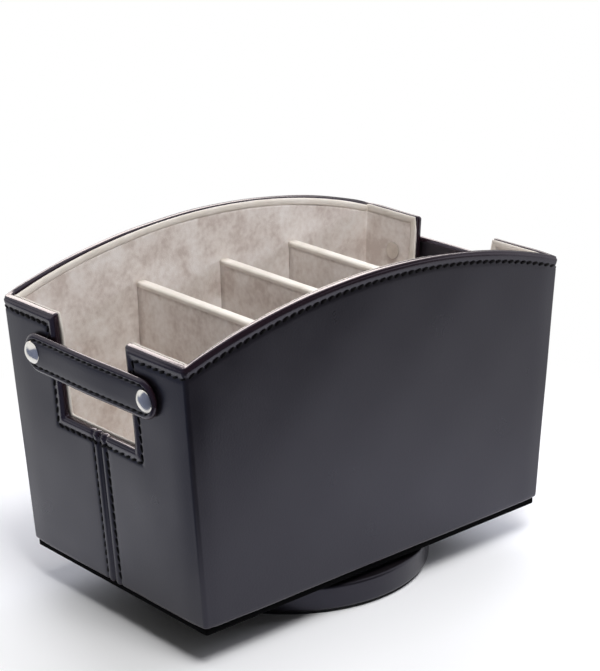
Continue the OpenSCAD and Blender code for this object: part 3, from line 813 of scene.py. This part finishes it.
# %% [markdown]
# A strap's face is one height over the wall for each place and each distance from its edge. Its rings
# are the same number of points on each outline, from the edge to the middle line, where they meet.

# %% Straps


def stadium(distance, straight_steps=46, arc_steps=14):
    """(x, up) points at a distance inside the strap's outline: half circles shrink, and straights stay."""
    radius = STRAP_R - distance
    run = np.linspace(-1, 1, straight_steps + 1)[:-1] * STRAP_STRAIGHT
    angle = np.linspace(-math.pi / 2, math.pi / 2, arc_steps + 1)[:-1]
    lower = np.column_stack([run, np.full(len(run), -radius)])
    tip = np.column_stack([STRAP_STRAIGHT + radius * np.cos(angle), radius * np.sin(angle)])
    half = np.concatenate([lower, tip])
    return np.concatenate([half, -half])


def strap_edge(distance):
    """The rounded edge in section: a quarter ellipse that is flat from STRAP_ROUND inwards."""
    return np.sqrt(1 - (1 - np.clip(distance / STRAP_ROUND, 0, 1)) ** 2)


def strap_out(x, distance):
    """Height of the strap's outer face over the wall: the bow and the rounded edge, less the sewn groove,
    which is a bell curve, and with a low pillow that rises evenly inside it."""
    groove = GROOVE_DEEP * np.exp(-((distance - STRAP_STITCH) / GROOVE_WIDE) ** 2)
    pillow = PILLOW * np.clip((distance - 3.2) / 3, 0, 1)
    return strap_bow(x) + STRAP_T / 2 * (1 + strap_edge(distance)) - groove - 0.12 + pillow


def strap_mesh(end):
    """Points, faces and edge values of a strap: rings from edge to middle line, outside and behind."""
    distances = np.array([0, 0.05, 0.17, 0.36, 0.65, 1.0, 1.4, 1.8, 2.1, 2.4, 2.6, 2.8, 3.0, 3.25, 3.6, 4.1,
                          5.0, 6.2, 7.6, STRAP_R])
    flat = np.stack([stadium(e) for e in distances])
    x, up = flat[..., 0], flat[..., 1]
    e = distances[:, None]
    front = on_end(x, up, strap_out(x, e), end)
    rear = on_end(x, up, strap_bow(x) + STRAP_T / 2 * (1 - strap_edge(e)) + 0.02, end)
    rows = np.concatenate([rear[::-1], front[1:]])
    near = np.clip(2.2 - np.concatenate([distances[::-1], distances[1:]]), 0, 1)
    quads = grid_faces(*rows.shape[:2], wrap_columns=True)
    return rows.reshape(-1, 3), quads, np.repeat(near, rows.shape[1])


for end, name in ((-1, "front"), (1, "back")):
    points, faces, near = strap_mesh(end)
    make_piece(f"strap_leather_{name}", points, faces, "leather", stands_for=[f"strap_{name}"], edge=near)

# %% [markdown]
# Rivets. A strap rivet is a drawn nickel-plated cap: a low dome whose rim rolls down onto the leather,
# with a barrel that goes through the wall. It is turned work, so one profile goes round an axis.

# %% Rivets
CAP_R, CAP_H, BARREL_R, PIN_R = 5.1, 2.2, 2.4, 1.5
WALL_T = INNER_D * math.cos(END_ANGLE)
BARREL_LEN = STRAP_T + WALL_T / 2


def turned(profile, steps):
    """A closed profile of (radius, height) turned round the z axis; points on the axis merge later."""
    r, h = np.array(profile, float).T
    angle = np.arange(steps) * 2 * math.pi / steps
    points = np.stack(np.broadcast_arrays(r[:, None] * np.cos(angle), r[:, None] * np.sin(angle),
                                          h[:, None]), -1)
    return points, grid_faces(len(r), steps, wrap_columns=True)


def cap_profile():
    """Dome, rolled rim, underside, barrel and bore, as (radius, height) from the crown inwards."""
    sphere_r = (CAP_R ** 2 + CAP_H ** 2) / (2 * CAP_H)
    reach = np.linspace(0, CAP_R - 0.5, 9)
    dome = [(r, CAP_H - sphere_r + math.sqrt(sphere_r ** 2 - r ** 2)) for r in reach]
    rim = [(CAP_R - 0.22, 0.22), (CAP_R, -0.02), (CAP_R - 0.05, -0.3), (CAP_R - 0.4, -0.36)]
    barrel = [(BARREL_R, -0.3), (BARREL_R, -BARREL_LEN), (PIN_R, -BARREL_LEN), (PIN_R, -CAP_H / 2)]
    return dome + rim + barrel + [(0.0, -CAP_H / 2)]


def at_rivets(points, end, out):
    """Copies a turned piece to both rivets of one end: its axis points out of the wall."""
    return [on_end(s * RIVET_X + points[..., 0], points[..., 1], out + points[..., 2], end).reshape(-1, 3)
            for s in (-1, 1)]


cap_points, cap_faces = turned(cap_profile(), 48)
for end, name in ((-1, "front"), (1, "back")):
    pair = at_rivets(cap_points, end, STRAP_T + 0.05)
    faces = np.concatenate([cap_faces, cap_faces + len(pair[0])])
    make_piece(f"rivet_domes_{name}", np.concatenate(pair), faces, "nickel",
               stands_for=[f"rivet_caps_{name}"])

# %% [markdown]
# The base. Leather is wrapped round a disc of board and turned over at the top and under the foot, so
# its section is a flat U lying on its side, with soft outer corners. It is turned round the swivel axis.

# %% Base leather
BASE_LOW, BASE_HIGH = (corner[2] for corner in node_box("base_cover"))
BASE_R = node_box("base_cover")[1][0]
POCKET_R = 49.9
BASE_ROUND = 1.5


def base_profile():
    """The leather's section: outside from the pocket over the top, down and under, then back inside it."""
    soft = [(BASE_ROUND * (math.cos(a) - 1), BASE_ROUND * (math.sin(a) - 1)) for a in
            np.linspace(math.pi / 2, 0, 7)]
    high = [(BASE_R + out, BASE_HIGH + up) for out, up in soft]
    low = [(BASE_R + out, BASE_LOW - up) for out, up in soft[::-1]]
    middle = [(BASE_R, h) for h in np.linspace(BASE_HIGH - BASE_ROUND, BASE_LOW + BASE_ROUND, 4)[1:-1]]
    face_r, inner_r, under, over = BASE_R - 4, BASE_R - LEATHER_T, BASE_LOW + LEATHER_T, BASE_HIGH - LEATHER_T
    inside = [(POCKET_R, BASE_LOW), (POCKET_R, under), (inner_r, under), (inner_r, over), (POCKET_R, over)]
    return [(POCKET_R, BASE_HIGH), (face_r, BASE_HIGH), *high, *middle, *low, (face_r, BASE_LOW), *inside]


points, _ = turned(base_profile(), 144)
faces = grid_faces(*points.shape[:2], wrap_rows=True, wrap_columns=True)
make_piece("base_leather", points.reshape(-1, 3), faces, "leather", body="base", stands_for=["base_cover"])

# %% [markdown]
# Stitches. Each is a short length of waxed thread that comes up, lies slanting across the row, and
# goes down again. One small capsule is enough for all of them: it is copied along a path, in a frame of
# three directions at each point: along the row, across it, and out of the leather.

# %% One stitch
STITCH_PITCH = 4.15
STITCH_LEN, STITCH_R = 3.3, 0.62
STITCH_SLANT = math.radians(20)


def thread_template():
    """One stitch: five six-sided rings along an arch that is highest in the middle, and two end caps."""
    along = np.array([-0.5, -0.36, 0.0, 0.36, 0.5]) * STITCH_LEN
    size = np.array([0.45, 0.95, 1.0, 0.95, 0.45]) * STITCH_R
    lift = 0.16 * (1 - (2 * along / STITCH_LEN) ** 2) - 0.06
    angle = np.arange(6) * math.pi / 3
    a = np.broadcast_to(along[:, None], (5, 6))
    b = size[:, None] * np.cos(angle)
    c = size[:, None] * np.sin(angle) + lift[:, None]
    slanted = a * math.cos(STITCH_SLANT) - b * math.sin(STITCH_SLANT)
    across = a * math.sin(STITCH_SLANT) + b * math.cos(STITCH_SLANT)
    faces = grid_faces(5, 6, wrap_columns=True).tolist()
    caps = [[3, 2, 1, 0], [5, 4, 3, 0], [24, 25, 26, 27], [24, 27, 28, 29]]
    return np.stack([slanted, across, c], -1).reshape(-1, 3), np.array(faces + caps)


TEMPLATE, TEMPLATE_FACES = thread_template()
print("faces of a stitch:", len(TEMPLATE_FACES))

# %% [markdown]
# A row of stitches is a path of three numbers, and a rule that puts them in space, a given distance
# above the leather. The path is cut into equal steps. At the middle of each step, a point a little
# ahead and one above give the stitch its three directions. Wall and straps differ only in their rule.

# %% Rows of stitches


def unit(way):
    """Directions scaled to length one."""
    return way / np.linalg.norm(way, axis=1, keepdims=True)


def sew(place, path, closed=False):
    """Points and faces of the stitches along a path: the template's three coordinates times the three
    directions at each centre. place(spots, out) gives the points that lie out above the leather."""
    path = np.concatenate([path, path[:1]]) if closed else path
    run = np.concatenate([[0], np.cumsum(np.linalg.norm(np.diff(place(path, 0), axis=0), axis=1))])
    count = int(round(run[-1] / STITCH_PITCH))
    steps = np.arange(len(path))
    index = np.interp((np.arange(count) + 0.5) / count * run[-1], run, steps)
    here, next_to = (np.column_stack([np.interp(i, steps, values) for values in path.T])
                     for i in (index, index + 0.05))
    centre = place(here, 0)
    along = unit(place(next_to, 0) - centre)
    above = place(here, 1) - centre
    out = unit(above - (above * along).sum(1, keepdims=True) * along)
    ways = np.stack([along, np.cross(out, along), out], 1)
    points = centre[:, None] + np.einsum("tk,nkc->ntc", TEMPLATE, ways)
    faces = TEMPLATE_FACES[None] + (np.arange(count) * len(TEMPLATE))[:, None, None]
    return points.reshape(-1, 3), faces.reshape(-1, 4)


print("stitches go in", STITCH_PITCH, "mm steps")

# %% [markdown]
# The rows. Each panel has one along the rim and round the notches, and one down each seam. A strap's
# row is closed. The left panel's stitches are the right one's mirrored, with their faces turned.

# %% Sewing
# Distance of the stitches from the edge and from the seam, and how deep they lie below the leather
STITCH_INSET, SEAM_STITCH = 5.0, 4.5
EDGE_DEEP, SEAM_DEEP = 0.3, -0.15
# A straight stitch across a round corner sinks in by this share of the corner's ease
CORNER_DIP = 0.8


def wall_row(u, z, below):
    """Path of a row on the right half of the wall: u, z and a depth a little below where the leather lies."""
    ease = corner_ease(np.minimum(u, 2 * MIDDLE_U - u))
    return np.column_stack([u, z, below + leather_push(u, z) + CORNER_DIP * ease])


def on_wall(spots, out):
    """Place of a wall row's spots, out above the leather."""
    return wall(*(spots - [0, 0, out]).T)


edge_row = ring(STITCH_INSET, SEAM_STITCH + 2.5)
seam_z = np.linspace(NOTCH_Z - 7.0, FOOT_Z + 3.0, 30)
rows = [wall_row(*edge_row.T, EDGE_DEEP)]
rows += [wall_row(np.full(30, u), seam_z, SEAM_DEEP) for u in (SEAM_STITCH, 2 * MIDDLE_U - SEAM_STITCH)]
sewn = [sew(on_wall, row) for row in rows]
points = np.concatenate([p for p, _ in sewn])
starts = np.cumsum([0] + [len(p) for p, _ in sewn[:-1]])
faces = np.concatenate([f + k for (_, f), k in zip(sewn, starts)])
for side, name in ((-1, "left"), (1, "right")):
    make_piece(f"stitching_{name}", points * [side, 1, 1], faces[:, ::side], "thread")

x, up = stadium(STRAP_STITCH).T
strap_row = np.column_stack([x, up, strap_out(x, STRAP_STITCH) + 0.1])
for end, name in ((-1, "front"), (1, "back")):
    points, faces = sew(lambda spots, out: on_end(*(spots + [0, 0, out]).T, end), strap_row, closed=True)
    make_piece(f"strap_stitching_{name}", points, faces, "thread")

# %% [markdown]
# What stays of the frame. The boards, the swivel, the rivets' backs and the foot pad are rigid and
# already have their true form, so they only need their finish. Each node gets the material that its
# slot in the record names.

# %% Finishes of the frame's own nodes
for part in frame["record"]["subparts"]:
    node = frame["nodes"][part["node"]]
    node.data.materials.clear()
    node.data.materials.append(FINISHES[part["material_slot"]])
print("nodes dressed:", len(frame["nodes"]))

# %% [markdown]
# The room: a pale floor and a white surround, as in a small product studio. Near the object the floor
# is plain white paint, which takes light and shadow. Further out it turns into the white of the room,
# for the eye and for gloss only, so that no edge shows and no light is added.

# %% Floor and world
FADE_NEAR, FADE_FAR = 130.0, 290.0
GROUND_HALF = 3000.0
# Light that the surround itself gives to the object, as a share of white
FILL = 0.1
WHITE = (1, 1, 1, 1)


def seen_directly(tree):
    """One for camera, mirror and glass rays, and nought for the rays that carry light between surfaces."""
    path = add(tree, "LightPath")
    first = add(tree, "Math", {0: path.outputs["Is Camera Ray"], 1: path.outputs["Is Glossy Ray"]},
                operation="MAXIMUM")
    return add(tree, "Math", {0: first.outputs["Value"], 1: path.outputs["Is Transmission Ray"]},
               operation="MAXIMUM").outputs["Value"]


def floor_material():
    """White paint, mixed with white glow by the distance from the middle, for rays that see it directly."""
    material, tree, place = new_material("studio_floor")
    away = add(tree, "VectorMath", {0: place}, operation="LENGTH")
    far = add(tree, "MapRange", {"Value": away.outputs["Value"], "From Min": FADE_NEAR * MM,
                                 "From Max": FADE_FAR * MM})
    level = add(tree, "Math", {0: far.outputs["Result"], 1: seen_directly(tree)}, operation="MULTIPLY")
    glow = add(tree, "Emission", {"Color": WHITE, "Strength": 1.0})
    paint = add(tree, "BsdfDiffuse", {"Color": linear("#fbfbfc")})
    both = add(tree, "MixShader", {"Fac": level.outputs["Value"], 1: paint.outputs["BSDF"],
                                   2: glow.outputs["Emission"]})
    add(tree, "OutputMaterial", {"Surface": both.outputs["Shader"]})
    return material


def stage_piece(name, corners, faces, material):
    """A piece of the room, from points in metres: it isn't part of the object."""
    mesh = bpy.data.meshes.new(name)
    mesh.from_pydata(corners, [], faces)
    mesh.materials.append(material)
    made = bpy.data.objects.new(name, mesh)
    bpy.context.scene.collection.objects.link(made)
    return made


SQUARE = np.array([(-1, -1, 0), (1, -1, 0), (1, 1, 0), (-1, 1, 0)])
stage_piece("studio_floor", SQUARE * GROUND_HALF * MM, [(0, 1, 2, 3)], floor_material())

world = bpy.data.worlds.new("white_room")
world.use_nodes = True
world.node_tree.nodes.clear()
seen = seen_directly(world.node_tree)
level = add(world.node_tree, "MapRange", {"Value": seen, "To Min": FILL})
sky = add(world.node_tree, "Background", {"Color": WHITE, "Strength": level.outputs["Result"]})
add(world.node_tree, "OutputWorld", {"Surface": sky.outputs["Background"]})
bpy.context.scene.world = world
bpy.context.scene.view_settings.view_transform = "Standard"
print("floor fades to white from", FADE_NEAR, "to", FADE_FAR, "mm")

# %% [markdown]
# Cards. A photographer of dark leather stands dark cards round the set, just out of the picture: the
# two near walls mirror them softly, and so darken towards the rim and the near corner. The one before
# the end wall is grey, so that the rivets don't turn black, and one far behind ends the shine of the
# near roll. Two bright cards hang behind, high on the left: the rolls mirror them as a crisp pale line.

# %% Cards
GLOW = 10.0
GLOW_CARDS = [((-1.08, 0.48, 0.98), (0.62, 0.3)), ((-0.64, 0.82, 1.16), (0.5, 0.37))]
GLOW_COLOUR, SHADE_COLOUR = "#fff2e6", "#cdd9ff"
NEAR_LINE = [(-420.0, -280.0), (-100.0, -240.0), (0.0, -158.0), (125.0, -200.0), (445.0, 500.0)]
NEAR_HIGH, NEAR_SHADE = [125.0, 125.0, 150.0, 420.0, 420.0], [0.33, 0.33, 0.33, 0.1, 0.0]
BACK_LINE, BACK_HIGH, BACK_SHADE = [(-420.0, 380.0), (-220.0, 680.0)], [282.0, 282.0], [0.0, 0.0]
# Cards and lamps are aimed at this point, in metres
OBJECT_MIDDLE = np.array([0.0, 0.0, 0.08])


def gloss_card(name, points, faces, shade, colour):
    """A card of one colour and its own brightness, given at each point, that only gloss sees: it shows in
    leather and metal, but throws no shadow and lights no cloth."""
    paint, tree, _ = new_material(name)
    level = add(tree, "Attribute", attribute_name="shade").outputs["Fac"]
    light = add(tree, "Emission", {"Color": linear(colour), "Strength": level})
    add(tree, "OutputMaterial", {"Surface": light.outputs["Emission"]})
    made = stage_piece(name, points, faces, paint)
    made.data.attributes.new("shade", "FLOAT", "POINT").data.foreach_set("value", np.array(shade, np.float32))
    made.visible_camera = made.visible_diffuse = made.visible_transmission = made.visible_shadow = False


def standing_card(name, line, high, shade):
    """A gloss card that stands on the floor along (x, y) points, with a height and a brightness at each."""
    low = np.column_stack([line, np.zeros(len(line))])
    points = np.concatenate([low, np.column_stack([line, high])]) * MM
    gloss_card(name, points, grid_faces(2, len(line)).tolist(), np.tile(shade, 2), SHADE_COLOUR)


def aimed_at(place, target):
    """Right, up and back directions at a place that looks at the target: back points away from it."""
    back = place - target
    back /= np.linalg.norm(back)
    right = np.cross([0, 0, 1.0], back)
    right /= np.linalg.norm(right)
    return right, np.cross(back, right), back


standing_card("near_card", NEAR_LINE, NEAR_HIGH, NEAR_SHADE)
standing_card("back_card", BACK_LINE, BACK_HIGH, BACK_SHADE)
for k, (place, half) in enumerate(GLOW_CARDS):
    ways = np.stack(aimed_at(np.array(place), OBJECT_MIDDLE))
    gloss_card(f"bright_card_{k}", place + (SQUARE * [*half, 0]) @ ways, [(0, 1, 2, 3)], np.full(4, GLOW),
               GLOW_COLOUR)
print("cards:", 2 + len(GLOW_CARDS))

# %% [markdown]
# Lamps. Four large soft ones: a broad one behind on the left, which lights the inside of the near wall
# and throws the shadow forward, a weak one over the top, one past the far end, and one in front for
# the end wall. They are hidden from gloss, because the cards alone say what the leather mirrors.

# %% Lamps


def soft_lamp(name, place, size, share, colour="#ffffff"):
    """An area lamp of size (width, height) aimed at the object. Its power, in watts, is share times 4 pi
    times the distance squared, so that equal shares light the object equally from any distance."""
    lamp = bpy.data.lights.new(name, "AREA")
    lamp.shape = "RECTANGLE"
    lamp.size, lamp.size_y = size
    lamp.color = linear(colour)[:3]
    eye = np.array(place, float)
    lamp.energy = share * 4 * math.pi * np.sum((eye - OBJECT_MIDDLE) ** 2)
    made = bpy.data.objects.new(name, lamp)
    bpy.context.scene.collection.objects.link(made)
    turn = np.eye(4)
    turn[:3, :3] = np.column_stack(aimed_at(eye, OBJECT_MIDDLE))
    turn[:3, 3] = eye
    made.matrix_world = Matrix(turn.tolist())
    made.visible_glossy = False


soft_lamp("top", (0.15, 0.0, 1.5), (1.0, 1.0), 0.33)
soft_lamp("back", (-1.1, 0.97, 0.65), (1.8, 0.7), 0.86, "#f2f4ff")
soft_lamp("end", (0.35, 1.4, 0.5), (0.7, 0.4), 0.35, "#f2f4ff")
soft_lamp("front", (0.65, -0.2, 1.38), (0.5, 0.5), 0.42)
print("lamps:", len(bpy.data.lights))
